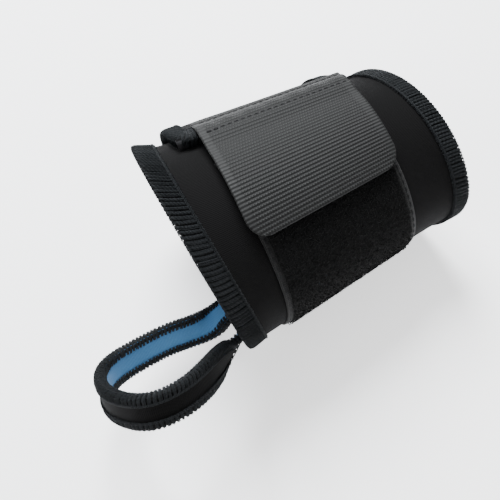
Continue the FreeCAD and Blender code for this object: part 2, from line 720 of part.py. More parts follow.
def loop_path():
    """The loop's centre line, in its own plane: out by reach, sideways by bulge."""
    reach, bulge, root = size("loop_reach"), size("loop_bulge"), size("loop_width") / 2
    gap = LOOP_GAP
    return [Vector(*spot, 0) for spot in (
        (-root, -0.20 * bulge), (0.00, 0.00), (0.16 * reach, 0.40 * bulge),
        (0.42 * reach, 0.86 * bulge), (0.66 * reach, 0.94 * bulge), (0.86 * reach, 0.66 * bulge),
        (0.99 * reach, 0.10 * bulge), (0.93 * reach, -0.42 * gap), (0.70 * reach, -0.68 * gap),
        (0.36 * reach, -0.86 * gap), (0.00, -gap), (-root, -1.04 * gap))]


def offset_curve(shift):
    """The centre line moved sideways: outwards round the loop for a positive shift."""
    centre = spline(loop_path())
    first, last = centre.FirstParameter, centre.LastParameter
    count = 24
    points = []
    for step in range(count + 1):
        parameter = first + (last - first) * step / count
        along = centre.tangent(parameter)[0]
        points.append(centre.value(parameter) + Vector(-along.y, along.x, 0) * shift)
    return spline(points)


def make_loop_layer(name, inner, outer, low, width):
    """One layer of the loop: a strip of the given width that starts at low across it."""
    body = new_body(name)
    matrix = Matrix(LOOP_OUT.x, LOOP_SIDE.x, LOOP_ACROSS.x, LOOP_NEAR.x,
                    LOOP_OUT.y, LOOP_SIDE.y, LOOP_ACROSS.y, LOOP_NEAR.y,
                    LOOP_OUT.z, LOOP_SIDE.z, LOOP_ACROSS.z, LOOP_NEAR.z, 0, 0, 0, 1)
    body.Placement = Placement(matrix)
    sketch = new_sketch(body, name + "_outline", "XY_Plane", low)
    outside, inside = offset_curve(outer), offset_curve(inner)
    sketch.addGeometry(outside, False)
    sketch.addGeometry(inside, False)
    for end in (0, 1):
        ends = [curve.value(curve.LastParameter if end else curve.FirstParameter)
                for curve in (outside, inside)]
        sketch.addGeometry(Part.LineSegment(*ends), False)
    pad(body, sketch, width, name + "_strip")
    radius = size("loop_width") / 2
    corners = new_sketch(body, name + "_corners", "XZ_Plane")
    for side in (-1, 1):
        turn = math.sqrt(0.5) * radius
        corners.addGeometry(Part.Arc(Vector(-radius, 0, 0), Vector(-turn, side * turn, 0),
                                     Vector(0, side * radius, 0)), False)
        far = 2.5 * radius
        chain = [Vector(0, side * radius, 0), Vector(0, side * far, 0),
                 Vector(-far, side * far, 0), Vector(-far, 0, 0), Vector(-radius, 0, 0)]
        for start, end in zip(chain, chain[1:]):
            corners.addGeometry(Part.LineSegment(start, end), False)
    cut_through(body, corners, name + "_root")


def make_loop():
    half = "Sizes.loop_width / 2"
    core = f"{half} - Sizes.loop_edge"
    middle = (size("loop_foam") + size("loop_lining") + size("layer_gap")) / 2
    lining = (-middle, -middle + size("loop_lining"))
    foam = (lining[1] + size("layer_gap"), middle)
    gap, proud = "Sizes.layer_gap", size("loop_edge_proud")
    make_loop_layer("loop_strip", *foam, f"-({core} - {gap})", f"2 * ({core} - {gap})")
    make_loop_layer("loop_lining", *lining, f"-({core} - {gap})", f"2 * ({core} - {gap})")
    make_loop_layer("loop_upper_overlock", -middle - proud, middle + proud, core,
                    "Sizes.loop_edge")
    make_loop_layer("loop_lower_overlock", -middle - proud, middle + proud, f"-({half})",
                    "Sizes.loop_edge")


def make_loop_anchors():
    """The loop's thinned ends inside the wrap, on the lining, each with a bar of stitches."""
    left = "Sizes.distal_edge + Sizes.overlock_width + Sizes.anchor_inset"
    for number, alias in ((1, "loop_near_angle"), (2, "loop_far_angle")):
        middle = size(alias)
        half = math.degrees(size("loop_width") / 2 / DISTAL.radius(math.radians(middle)))
        planes = [Plane(left, *DISTAL_LEAN), Plane(left + " + Sizes.anchor_length", *DISTAL_LEAN)]
        outer = -size("sewn_gap")
        inner = outer - size("anchor_thickness")
        band(f"loop_anchor_{number}", planes, middle - half, middle + half, inner, outer)
        end = left + " + Sizes.anchor_length - Sizes.bartack_width"
        planes = [Plane(end + " - Sizes.bartack_width", *DISTAL_LEAN), Plane(end, *DISTAL_LEAN)]
        outer = inner - size("layer_gap") / 2
        bar = BARTACK_SHARE * half
        band(f"loop_bartack_{number}", planes, middle - bar, middle + bar,
             outer - size("stitch_height"), outer)


make_loop()
make_loop_anchors()


# ------------------------------------------------------------------ check and write
def check_and_export():
    doc.recompute()
    failed = [item.Label for item in doc.Objects
              if {"Invalid", "Error"} & set(item.State)]
    if failed:
        raise RuntimeError("features failed: " + ", ".join(failed))
    for body in BODIES:
        shape = body.Shape
        if shape.isNull() or not shape.isValid() or not shape.Solids:
            raise RuntimeError("no valid solid in " + body.Label)
        shape.exportStep(f"parts/{body.Label}.step")
        print(f"{body.Label:24s} {len(shape.Solids)} solid {shape.Volume:9.1f} mm3")


check_and_export()
for label, line in (("tail fold", tail_fold_line()), ("tab fold", tab_fold_line()),
                    ("loop fold", (LOOP_NEAR, LOOP_FAR))):
    print(label, *(tuple(round(part, 2) for part in point) for point in line))
print("flat face under the pocket at z", round(POCKET_BOTTOM, 2))
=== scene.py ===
# %% [markdown]
# # A wrist splint, piece by piece
# The splint is a neoprene wrap: foam between a black jersey face and a blue knitted lining, with
# its raw edges bound by overlock stitching. A tail strap with a woven hook tab closes it over a
# panel of loop pile, a narrow strip goes round the thumb, and a flat stay sits in a pocket on the
# palm side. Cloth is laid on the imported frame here, so every piece starts from the wrap's wall.

# %% Load the frame
import math

import bmesh
import bpy
import numpy as np
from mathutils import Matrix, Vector


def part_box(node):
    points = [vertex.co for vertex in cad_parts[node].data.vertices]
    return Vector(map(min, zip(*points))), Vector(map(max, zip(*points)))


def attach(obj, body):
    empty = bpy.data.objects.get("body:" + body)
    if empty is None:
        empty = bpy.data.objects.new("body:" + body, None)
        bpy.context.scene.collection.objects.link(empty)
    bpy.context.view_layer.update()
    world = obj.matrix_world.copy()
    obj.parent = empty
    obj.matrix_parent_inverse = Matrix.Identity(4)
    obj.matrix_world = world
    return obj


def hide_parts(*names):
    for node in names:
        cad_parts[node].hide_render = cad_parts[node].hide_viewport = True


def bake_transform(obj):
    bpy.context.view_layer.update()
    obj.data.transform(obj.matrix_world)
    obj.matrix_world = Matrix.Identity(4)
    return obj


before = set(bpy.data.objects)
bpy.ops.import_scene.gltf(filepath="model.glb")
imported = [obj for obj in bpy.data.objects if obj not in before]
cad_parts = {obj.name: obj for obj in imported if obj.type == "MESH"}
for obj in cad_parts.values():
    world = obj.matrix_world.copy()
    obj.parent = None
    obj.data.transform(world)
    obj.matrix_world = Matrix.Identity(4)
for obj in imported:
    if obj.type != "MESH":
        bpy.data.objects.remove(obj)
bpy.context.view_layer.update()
MM = 0.001
rng = np.random.default_rng(7)
for item in bpy.context.selected_objects:
    item.select_set(False)
print("frame nodes:", len(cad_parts))

# %% [markdown]
# The wall is an oval tube of four arcs in each section, straight along the forearm in the middle
# and flared towards both rims. One function gives the point at any place along the arm, at any
# angle round it and at any depth in the cloth, so that each layer is laid exactly on the last.

# %% The wall of the wrap, in millimetres
PALM_DEPTH = 27.0
STRAIGHT = (-33.5, 36.0)
FLARE_REACH = 20.0
SECTIONS = ((37.9, 30.1, 21.0), (32.2, 27.4, 20.0))
FLARES = ((6.3, 4.5), (1.8, 0.56))
LEAN_STEPS = 12


def oval(section, angle, depth):
    """The y and z of an oval's points at an angle, a depth outside it."""
    half_width, half_height, side_radius = section
    inset, rise = half_width - side_radius, half_height - side_radius
    bulge = (inset ** 2 - rise ** 2) / (2 * rise)
    join = bulge / math.hypot(bulge, inset)
    along, up = np.cos(angle), np.sin(angle)
    side = np.abs(up) < join
    arch = half_height + bulge + depth
    y = np.where(side, np.sign(along) * inset + (side_radius + depth) * along, arch * along)
    z = np.where(side, (side_radius + depth) * up, arch * up - np.sign(up) * bulge)
    return y, z + half_height - PALM_DEPTH


def wall(x, degrees, depth):
    """Points of the wall: x along the arm, degrees round it, depth from the skin side."""
    x, degrees, depth = np.broadcast_arrays(*(np.asarray(v, float) for v in (x, degrees, depth)))
    angle = np.radians(degrees)
    share = (x - STRAIGHT[0]) / (STRAIGHT[1] - STRAIGHT[0])
    near, far = (oval(section, angle, depth) for section in SECTIONS)
    y, z = ((a + (b - a) * share) for a, b in zip(near, far))
    for past, (wide, high) in zip((STRAIGHT[0] - x, x - STRAIGHT[1]), FLARES):
        flare = (np.maximum(past, 0) / FLARE_REACH) ** 2
        y = y + flare * wide * np.cos(angle)
        z = z + flare * high * (1 + np.sin(angle))
    return np.stack([x, y, z], -1)


def leaning(place, lean_y, lean_z, degrees, depth):
    """The x at which a leaning plane across the wrap meets the wall."""
    x = np.full(np.broadcast(place, degrees, depth).shape, 0.0) + place
    for _ in range(LEAN_STEPS):
        spot = wall(x, degrees, depth)
        x = place + lean_y * spot[..., 1] + lean_z * spot[..., 2]
    return x


# %% Sizes of the layers, in millimetres and degrees
PANEL_OUT = 3.9
DISTAL_RIM = (-41.8, 0.038, -0.19)
PROXIMAL_RIM = (54.6, -0.085, 0.051)
OVERLOCK = 7.5
PROUD = 0.85
PANEL_ENDS = (-48.0, 307.0)
face_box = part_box("panel_face")
probe = wall(leaning(DISTAL_RIM[0] + OVERLOCK, *DISTAL_RIM[1:], 0.0, PANEL_OUT), 0.0, PANEL_OUT)
print("face reaches y", round(face_box[1][1] / MM, 2), "and the wall there",
      round(float(probe[1]), 2))

# %% [markdown]
# Three small builders make all the cloth. A shell is a sheet with two faces and closed edges, a
# tube is a thread swept along a path, and a mesh object takes its points in millimetres. Their
# patterns follow the cloth, so each writes a UV map in metres: along the arm, and round it.


# %% Mesh builders
def make_object(name, points, faces, uvs=None, slots=None, materials=(), smooth=True):
    """A mesh object at the origin, from points in millimetres."""
    mesh = bpy.data.meshes.new(name)
    mesh.from_pydata((np.asarray(points) * MM).tolist(), [], [list(map(int, f)) for f in faces])
    for material in materials:
        mesh.materials.append(material)
    if slots is not None:
        mesh.polygons.foreach_set("material_index", np.asarray(slots, int))
    if uvs is not None:
        layer = mesh.uv_layers.new(name="Cloth")
        corners = np.zeros(len(mesh.loops), int)
        mesh.loops.foreach_get("vertex_index", corners)
        layer.data.foreach_set("uv", (np.asarray(uvs)[corners] * MM).ravel())
    mesh.polygons.foreach_set("use_smooth", np.full(len(mesh.polygons), smooth))
    obj = bpy.data.objects.new(name, mesh)
    bpy.context.scene.collection.objects.link(obj)
    work = bmesh.new()
    work.from_mesh(mesh)
    bmesh.ops.recalc_face_normals(work, faces=work.faces)
    work.to_mesh(mesh)
    work.free()
    mesh.update()
    return obj


def grid_faces(rows, columns, start=0, wrap=False):
    """Quads of a grid of points numbered row by row."""
    last = columns if wrap else columns - 1
    row, column = np.meshgrid(np.arange(rows - 1), np.arange(last), indexing="ij")
    after = (column + 1) % columns
    quads = np.stack([row * columns + column, row * columns + after,
                      (row + 1) * columns + after, (row + 1) * columns + column], -1)
    return quads.reshape(-1, 4) + start


def shell(name, outer, inner, uv, materials):
    """A sheet with thickness: grids of outer and inner points, closed round the edges."""
    rows, columns = outer.shape[:2]
    count = rows * columns
    points = np.concatenate([outer.reshape(-1, 3), inner.reshape(-1, 3)])
    face = grid_faces(rows, columns)
    back = face[:, ::-1] + count
    border = np.concatenate([np.arange(columns), np.arange(2 * columns - 1, count, columns),
                             np.arange(count - 2, count - columns - 1, -1),
                             np.arange(count - 2 * columns, 0, -columns)])
    after = np.roll(border, -1)
    edge = np.stack([border, border + count, after + count, after], -1)
    slots = np.repeat([0, min(1, len(materials) - 1), len(materials) - 1],
                      [len(face), len(back), len(edge)])
    uvs = np.concatenate([uv.reshape(-1, 2)] * 2)
    return make_object(name, points, np.concatenate([face, back, edge]), uvs, slots, materials)


def tubes(name, paths, radius, sides, material, up):
    """Threads: an array of paths of points, each swept with a round section and closed ends."""
    paths = np.asarray(paths, float)
    number, steps = paths.shape[:2]
    along = np.gradient(paths, axis=1)
    along /= np.linalg.norm(along, axis=-1, keepdims=True) + 1e-9
    up = np.broadcast_to(up, paths.shape)
    side = np.cross(along, up)
    side /= np.linalg.norm(side, axis=-1, keepdims=True) + 1e-9
    up = np.cross(side, along)
    radius = np.broadcast_to(np.asarray(radius, float), (number, steps))[..., None, None]
    turn = np.arange(sides) * 2 * np.pi / sides
    ring = (side[..., None, :] * np.cos(turn)[:, None] + up[..., None, :] * np.sin(turn)[:, None])
    points = (paths[..., None, :] + ring * radius).reshape(-1, 3)
    one = grid_faces(steps, sides, wrap=True)
    quads = (one[None] + (np.arange(number) * steps * sides)[:, None, None]).reshape(-1, 4)
    starts = np.arange(number) * steps * sides
    faces = quads.tolist()
    for start in starts.tolist():
        faces.append(list(range(start, start + sides)))
        last = start + (steps - 1) * sides
        faces.append(list(range(last, last + sides)))
    length = np.linalg.norm(np.diff(paths, axis=1), axis=-1).cumsum(1)
    length = np.concatenate([np.zeros((number, 1)), length], 1)
    across = np.arange(sides) / sides * 2.0
    uvs = np.stack(np.broadcast_arrays(length[..., None] + 7.3 * np.arange(number)[:, None, None],
                                       across), -1).reshape(-1, 2)
    return make_object(name, points, faces, uvs, None, [material])


def join(name, parts):
    """Joins finished pieces of one kind into one."""
    for part in parts:
        part.select_set(True)
    bpy.context.view_layer.objects.active = parts[0]
    bpy.ops.object.join()
    joined = bpy.context.view_layer.objects.active
    joined.name = joined.data.name = name
    joined.select_set(False)
    return joined


# %% [markdown]
# Shader maths reads best as sums. A small class wraps a socket, so that `1 - mask` adds its Math
# node by itself, and a recipe holds one material's nodes and makes any other node in one call.


# %% Shader helpers
class Field:
    """A number that varies over the surface."""

    def __init__(self, recipe, socket):
        self.recipe, self.socket = recipe, socket

    def _with(self, operation, *others):
        return self.recipe.math(operation, self, *others)

    def __add__(self, other):
        return self._with("ADD", other)

    def __sub__(self, other):
        return self._with("SUBTRACT", other)

    def __mul__(self, other):
        return self._with("MULTIPLY", other)

    def __rsub__(self, other):
        return self.recipe.math("SUBTRACT", other, self)

    def __pow__(self, other):
        return self._with("POWER", other)

    __radd__, __rmul__ = __add__, __mul__


class Recipe:
    """One material: its nodes, and the shader that they feed."""

    def __init__(self, name, **constant):
        self.material = bpy.data.materials.new(name)
        self.material.use_nodes = True
        self.tree = self.material.node_tree
        self.shader = self.tree.nodes["Principled BSDF"]
        for key, number in constant.items():
            self.shader.inputs[key.replace("_", " ")].default_value = number

    def node(self, kind, settings=(), **values):
        made = self.tree.nodes.new(kind)
        for key, setting in dict(settings).items():
            setattr(made, key, setting)
        for key, number in values.items():
            index = int(key[1:]) if key[1:].isdigit() else key.replace("_", " ")
            self.put(made.inputs[index], number)
        return made

    def put(self, socket, number):
        if isinstance(number, Field):
            number = number.socket
        if isinstance(number, bpy.types.NodeSocket):
            self.tree.links.new(number, socket)
        else:
            socket.default_value = number

    def math(self, operation, *numbers):
        made = self.node("ShaderNodeMath", {"operation": operation})
        for socket, number in zip(made.inputs, numbers):
            self.put(socket, number)
        return Field(self, made.outputs[0])

    def cloth_axes(self):
        """Distance along the arm and round it, in millimetres, from the UV map."""
        uv = self.node("ShaderNodeUVMap", {"uv_map": "Cloth"})
        split = self.node("ShaderNodeSeparateXYZ", _0=uv.outputs[0])
        return (Field(self, split.outputs[0]) * 1000.0, Field(self, split.outputs[1]) * 1000.0)

    def noise(self, scale, detail=2.0):
        """Noise over the object, scale in features per millimetre."""
        place = self.node("ShaderNodeTexCoord").outputs["Object"]
        made = self.node("ShaderNodeTexNoise", Vector=place, Scale=scale * 1000.0, Detail=detail)
        return Field(self, made.outputs[0])

    def wave(self, distance, pitch, shift=0.0):
        """A wave from 0 to 1 with a pitch in millimetres."""
        return self.math("SINE", (distance + shift) * (2 * math.pi / pitch)) * 0.5 + 0.5

    def colour(self, mask, dark, light):
        made = self.node("ShaderNodeMix", {"data_type": "RGBA"}, _0=mask,
                         _6=(*dark, 1.0), _7=(*light, 1.0))
        self.tree.links.new(made.outputs[2], self.shader.inputs["Base Color"])

    def bump(self, height, distance, strength=1.0):
        made = self.node("ShaderNodeBump", Height=height, Strength=strength,
                         Distance=distance * MM)
        self.tree.links.new(made.outputs[0], self.shader.inputs["Normal"])

    def roughness(self, number):
        self.put(self.shader.inputs["Roughness"], number)


# %% [markdown]
# The black jersey is a fine weft knit, so it has columns of tiny stitches about half a millimetre
# apart and a soft sheen where it turns away. The lining is the same knit in steel blue, and where
# the foam is cut it shows small closed cells.


# %% Knit and foam
def knit(name, dark, light, sheen):
    recipe = Recipe(name, Sheen_Weight=sheen, Sheen_Roughness=0.42, Specular_IOR_Level=0.10)
    recipe.shader.inputs["Sheen Tint"].default_value = (0.78, 0.82, 0.9, 1)
    along, around = recipe.cloth_axes()
    rib = recipe.wave(around, 0.55)
    course = recipe.wave(along, 0.42)
    grain = recipe.noise(2.6, 3.0)
    patch = recipe.noise(0.06, 2.0)
    stitch = rib * 0.6 + course * rib * 0.4
    recipe.colour(stitch * 0.35 + grain * 0.45 + patch * 0.25, dark, light)
    recipe.roughness(0.78 + grain * 0.2)
    recipe.bump(stitch + grain * 0.8, 0.10, 0.8)
    return recipe.material


def cut_foam():
    recipe = Recipe("neoprene_edge", Specular_IOR_Level=0.2)
    cells = recipe.noise(3.0, 4.0)
    recipe.colour(cells, (0.010, 0.010, 0.011), (0.035, 0.035, 0.038))
    recipe.roughness(0.85 + cells * 0.1)
    recipe.bump(cells, 0.15)
    return recipe.material


JERSEY = knit("black_jersey", (0.0009, 0.0009, 0.0009), (0.0040, 0.0038, 0.0039), 0.025)
LINING = knit("blue_lining", (0.035, 0.105, 0.22), (0.085, 0.23, 0.42), 0.15)
FOAM = cut_foam()
print("knits and foam ready")

# %% [markdown]
# Overlock thread is textured polyester: many loose filaments that look matt and slightly blue-grey
# against the jersey. The filaments run along the thread, so the pattern follows its length.


# %% Thread
def thread(name, dark, light):
    recipe = Recipe(name, Sheen_Weight=0.03, Sheen_Roughness=0.4, Specular_IOR_Level=0.2)
    recipe.shader.inputs["Sheen Tint"].default_value = (0.75, 0.83, 0.95, 1)
    along, around = recipe.cloth_axes()
    twist = recipe.wave(around + along * 0.35, 0.5)
    fluff = recipe.noise(1.6, 3.0)
    recipe.colour(twist * 0.45 + fluff * 0.55, dark, light)
    recipe.roughness(0.6 + fluff * 0.25)
    recipe.bump(twist + fluff, 0.12, 0.9)
    return recipe.material


EDGE_THREAD = thread("overlock_thread", (0.0020, 0.0026, 0.0030), (0.0130, 0.0160, 0.0180))
SEAM_THREAD = thread("seam_thread", (0.0015, 0.0015, 0.0018), (0.006, 0.0062, 0.007))
CORE = thread("thread_core", (0.0008, 0.0009, 0.001), (0.002, 0.0024, 0.0028))
print("threads ready")

# %% [markdown]
# The hook tab is woven with ribs along the forearm. Each rib is broken into short floats, offset
# from rib to rib, and the plain selvedges at both sides have no floats.


# %% Woven tab
RIB = 1.22
FLOAT = 1.05


def woven_tab():
    recipe = Recipe("woven_tab", Sheen_Weight=0.05, Sheen_Roughness=0.35, Specular_IOR_Level=0.25)
    along, around = recipe.cloth_axes()
    rib = recipe.wave(around, RIB)
    row = recipe.math("FLOOR", around * (1 / RIB))
    shift = recipe.math("FRACT", row * 0.5) * 1.0
    dash = recipe.wave(along + shift * FLOAT, FLOAT)
    edge = recipe.math("ABSOLUTE", along - TAB_MIDDLE)
    selvedge = recipe.node("ShaderNodeMapRange", _0=edge, _1=TAB_HALF - 3.4, _2=TAB_HALF - 2.6)
    plain = Field(recipe, selvedge.outputs[0])
    floats = rib * (0.35 + dash * 0.65) * (1 - plain) + (rib * 0.45 + 0.22) * plain
    fibre = recipe.noise(2.2, 3.0)
    recipe.colour(floats ** 1.7 * (0.7 + fibre * 0.6), (0.0013, 0.0014, 0.0014),
                  (0.026, 0.0275, 0.027))
    recipe.roughness(0.52 + fibre * 0.25)
    recipe.bump(floats + fibre * 0.25, 0.30, 0.9)
    return recipe.material


TAB_SIDES = (-27.6, 33.5)
TAB_MIDDLE = sum(TAB_SIDES) / 2
TAB_HALF = (TAB_SIDES[1] - TAB_SIDES[0]) / 2
TAB = woven_tab()


def plain_fabric(name, dark, light, pitch, sheen=0.3):
    """A plain weave with a pitch in millimetres."""
    recipe = Recipe(name, Sheen_Weight=sheen, Sheen_Roughness=0.4, Specular_IOR_Level=0.3)
    along, around = recipe.cloth_axes()
    weave = recipe.wave(along, pitch) * recipe.wave(around, pitch)
    fibre = recipe.noise(2.0, 3.0)
    recipe.colour(weave * 0.6 + fibre * 0.5, dark, light)
    recipe.roughness(0.7 + fibre * 0.2)
    recipe.bump(weave + fibre * 0.5, 0.12)
    return recipe.material


BACKING = plain_fabric("pile_backing_weave", (0.002, 0.002, 0.0021), (0.012, 0.0125, 0.0125),
                       0.8, 0.04)
POCKET = plain_fabric("pocket_twill", (0.002, 0.002, 0.0022), (0.010, 0.010, 0.011), 0.7, 0.04)


def pile_fabric():
    recipe = Recipe("loop_pile", Sheen_Weight=0.02, Sheen_Roughness=0.5, Specular_IOR_Level=0.12)
    fuzz = recipe.noise(0.9, 4.0)
    recipe.colour(fuzz, (0.0006, 0.0006, 0.0006), (0.0075, 0.0078, 0.0078))
    recipe.roughness(0.85 + fuzz * 0.1)
    recipe.bump(fuzz, 0.5)
    return recipe.material


PILE = pile_fabric()
print("weaves ready")


# %% Metal, dip and hooks
def stay_metal():
    recipe = Recipe("stay_aluminium", Metallic=1.0)
    place = recipe.node("ShaderNodeTexCoord").outputs["Object"]
    stretch = recipe.node("ShaderNodeMapping", Vector=place, Scale=(30.0, 900.0, 900.0))
    brushed = recipe.node("ShaderNodeTexNoise", Vector=stretch.outputs[0], Scale=2.0, Detail=4.0)
    lines = Field(recipe, brushed.outputs[0])
    recipe.colour(lines, (0.48, 0.49, 0.50), (0.74, 0.75, 0.77))
    recipe.roughness(0.26 + lines * 0.25)
    recipe.bump(lines, 0.02, 0.5)
    return recipe.material


def moulded(name, dark, light):
    recipe = Recipe(name, Specular_IOR_Level=0.5)
    skin = recipe.noise(1.2, 3.0)
    recipe.colour(skin, dark, light)
    recipe.roughness(0.42 + skin * 0.2)
    recipe.bump(skin, 0.06, 0.7)
    return recipe.material


METAL = stay_metal()
DIP = moulded("tip_dip", (0.015, 0.015, 0.016), (0.035, 0.035, 0.037))
HOOKS = moulded("hook_plastic", (0.008, 0.008, 0.009), (0.03, 0.03, 0.032))


def dress(node, material):
    """Gives a kept CAD node its material."""
    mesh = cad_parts[node].data
    mesh.materials.clear()
    mesh.materials.append(material)


dress("palmar_stay", METAL)
for node in ("stay_tip_1", "stay_tip_2"):
    dress(node, DIP)
dress("hook_field", HOOKS)
print("stay, tips and hooks dressed")

# %% [markdown]
# Distances round the wall are kept as arc length, so that stitches stay evenly spaced where the
# wall is tightly curved at the thumb and flat on the back of the wrist.

# %% Distances round the wall
table_degrees = np.arange(-75.0, 330.0, 0.5)
table_points = wall(0.0, table_degrees, PANEL_OUT)
table_arc = np.concatenate([[0], np.linalg.norm(np.diff(table_points, axis=0), axis=1).cumsum()])
table_arc -= np.interp(0.0, table_degrees, table_arc)


def arc_of(degrees):
    return np.interp(degrees, table_degrees, table_arc)


def degrees_of(arc):
    return np.interp(arc, table_arc, table_degrees)


def smooth(share):
    """An even step from 0 to 1."""
    share = np.clip(share, 0, 1)
    return share * share * (3 - 2 * share)


def rim_place(rim, sign):
    """Places on one rim: arc along it, distance in from it, depth."""
    def place(arc, inward, depth):
        degrees = degrees_of(arc)
        return wall(leaning(rim[0] + sign * inward, *rim[1:], degrees, depth), degrees, depth)
    return place


ARC_ENDS = arc_of(np.array(PANEL_ENDS))
print("round the wrap:", np.round(ARC_ENDS[1] - ARC_ENDS[0], 1), "mm")

# %% [markdown]
# The wide panel is one laminate, cut flat and bent round into a C. It runs under the stitches
# almost to the rims. The cloth sinks a little here and there, because neoprene is never even.


# %% The wide panel
def uneven(x, arc, depth):
    """Shallow hollows in the cloth, up to a depth."""
    lumps = (np.sin(x * 0.21 + 1.3) * np.sin(arc * 0.13) + np.sin(x * 0.09 - arc * 0.17 + 2.0)
             + 0.5 * np.sin(x * 0.43 + arc * 0.31))
    return -depth * (0.5 + lumps / 5)


def laid_sheet(name, place, ends, across, inner, outer, rows, columns, materials, hollow=0.0):
    """A sheet on the wall: place(x, distance, depth), over ranges of distance and of x."""
    x = np.linspace(*across, rows)[:, None]
    arc = np.linspace(*ends, columns)[None, :]
    x, arc = np.broadcast_arrays(x, arc)
    dip = uneven(x, arc, hollow)
    upper = outer(x, arc) if callable(outer) else outer
    lower = inner(x, arc) if callable(inner) else inner
    return shell(name, place(x, arc, upper + dip), place(x, arc, lower + 0 * dip),
                 np.stack([x, arc], -1), materials)


def panel_place(share, arc, depth):
    """Places on the panel: share of the way from the distal to the proximal rim."""
    degrees = degrees_of(arc)
    near = leaning(DISTAL_RIM[0] + 0.9, *DISTAL_RIM[1:], degrees, depth)
    far = leaning(PROXIMAL_RIM[0] - 0.9, *PROXIMAL_RIM[1:], degrees, depth)
    return wall(near + (far - near) * (share - DISTAL_RIM[0]) / (PROXIMAL_RIM[0] - DISTAL_RIM[0]),
                degrees, depth)


panel = laid_sheet("wrap_panel", panel_place, (ARC_ENDS[0] + 0.4, ARC_ENDS[1] - 0.2),
                   (DISTAL_RIM[0], PROXIMAL_RIM[0]), 0.0, PANEL_OUT, 60, 200,
                   (JERSEY, LINING, FOAM), hollow=0.22)
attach(panel, "wrap")
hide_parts("panel_foam", "panel_face", "panel_lining")

# %% [markdown]
# An overlocked edge is made of bundles of textured thread that go over the rim on a slant. Each
# bundle is a few filaments side by side, humped in the middle. A thinner looper thread zigzags
# along the inner line of needle holes, and another one ties small knots along the rim.


# %% Overlock builder
def edge_profile(width, low, high, fullness=1.0):
    """Distance in from the rim, and depth, along a thread's way over the rim."""
    middle, half = (low + high) / 2, (high - low) / 2
    way = np.array([(1.00, 0.80), (0.93, 0.93), (0.78, 1.0), (0.55, 1.02), (0.32, 1.0),
                    (0.16, 0.93), (0.055, 0.72), (0.005, 0.38), (0.0, 0.0), (0.005, -0.38),
                    (0.055, -0.72), (0.16, -0.93), (0.35, -1.0), (0.65, -1.0), (0.96, -0.85)])
    return way[:, 0] * width, middle + way[:, 1] * half * fullness


def overlock(name, place, length, width, low, high, slant=0.16, pitch=1.5, strands=4,
             strand=0.17, start=0.0):
    """The stitched band along one edge; place(along, in from the rim, depth)."""
    inward, depth = edge_profile(width, low + 0.40, high - 0.40)
    number = max(4, int(round(length / pitch)))
    step = length / number
    which, lane = np.meshgrid(np.arange(number), np.arange(strands), indexing="ij")
    lane = (lane - (strands - 1) / 2).ravel()[:, None]
    base = start + (which.ravel()[:, None] + 0.5) * step
    sway = rng.normal(0, 0.05, (number * strands, 1)) + rng.normal(0, 0.07, (number, 1)).repeat(
        strands, 0)
    lay = 0.5 * (1 + np.cos(np.arange(len(inward)) / (len(inward) - 1) * np.pi)) - 0.5
    twist = np.sin(np.arange(len(inward)) * 1.1 + which.ravel()[:, None] * 2.1) * 0.05
    along = base + lane * step / (strands + 1.35) + sway + twist + slant * width * lay * 2
    hump = 0.34 * (1 - (lane / (strands / 2)) ** 2)
    outside = np.sign(depth - (low + high) / 2) * np.minimum(1, inward / (0.1 * width) + 0.2)
    height = depth + hump * outside + rng.normal(0, 0.03, (number * strands, 1))
    reach = inward + rng.normal(0, 0.10, (number * strands, 1)) * (inward > 0.8 * width)
    reach = reach - 0.8 * hump * (inward < 0.06 * width)
    along, reach, height = np.broadcast_arrays(along, reach, height)
    paths = place(along, reach, height)
    up = place(along + 0.2, reach, height) - paths
    up /= np.linalg.norm(up, axis=-1, keepdims=True)
    threads = tubes(name + "_strands", paths, strand, 5, EDGE_THREAD, up)

    turn = np.arange(start, start + length, step / 6)
    phase = turn / step * 2 * np.pi
    rows = []
    for inset, rise, swing, lift, radius in ((width * 0.93, high + 0.02, 0.34, 0.10, 0.15),
                                             (width * 0.93, high + 0.02, -0.34, -0.02, 0.15),
                                             (-0.10, high * 0.62 + low * 0.38, 0.22, 0.55, 0.17)):
        way = place(turn, inset + swing * np.sin(phase), rise + lift * np.cos(phase))[None]
        out = place(turn, inset, rise + 1.0)[None] - place(turn, inset, rise)[None]
        rows.append(tubes(name + "_looper", way, radius, 5, EDGE_THREAD, out))

    core_in, core_depth = edge_profile(width * 0.97, low + 0.62, high - 0.62)
    sweep = np.linspace(start, start + length, max(3, int(length / 1.6)))
    grid = place(sweep[:, None], core_in[None] + 0.15, core_depth[None])
    count, ring = grid.shape[:2]
    faces = grid_faces(count, ring, wrap=True).tolist()
    faces += [list(range(ring)), list(range((count - 1) * ring, count * ring))]
    uv = np.stack(np.broadcast_arrays(sweep[:, None], np.arange(ring)[None] * 1.0), -1)
    core = make_object(name + "_core", grid.reshape(-1, 3), faces, uv.reshape(-1, 2), None, [CORE])
    return join(name, [threads, *rows, core])


def finish_overlock(piece, body, *nodes, slot="thread"):
    if body:
        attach(piece, body)
    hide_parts(*nodes)
    return piece


# %% The two rims
span = float(ARC_ENDS[1] - ARC_ENDS[0])
RIMS = (("distal_edge", DISTAL_RIM, 1, "distal_overlock"),
        ("proximal_edge", PROXIMAL_RIM, -1, "proximal_overlock"))
for name, rim, sign, node in RIMS:
    piece = overlock(name, rim_place(rim, sign), span, OVERLOCK, -PROUD, PANEL_OUT + PROUD,
                     start=ARC_ENDS[0], slant=0.16 * sign)
    finish_overlock(piece, "wrap", node)
    print(name, len(piece.data.polygons), "faces")


# %% The inner end, under the tail
def inner_end_place(x, inward, depth):
    return wall(x, degrees_of(ARC_ENDS[0] + inward), depth)


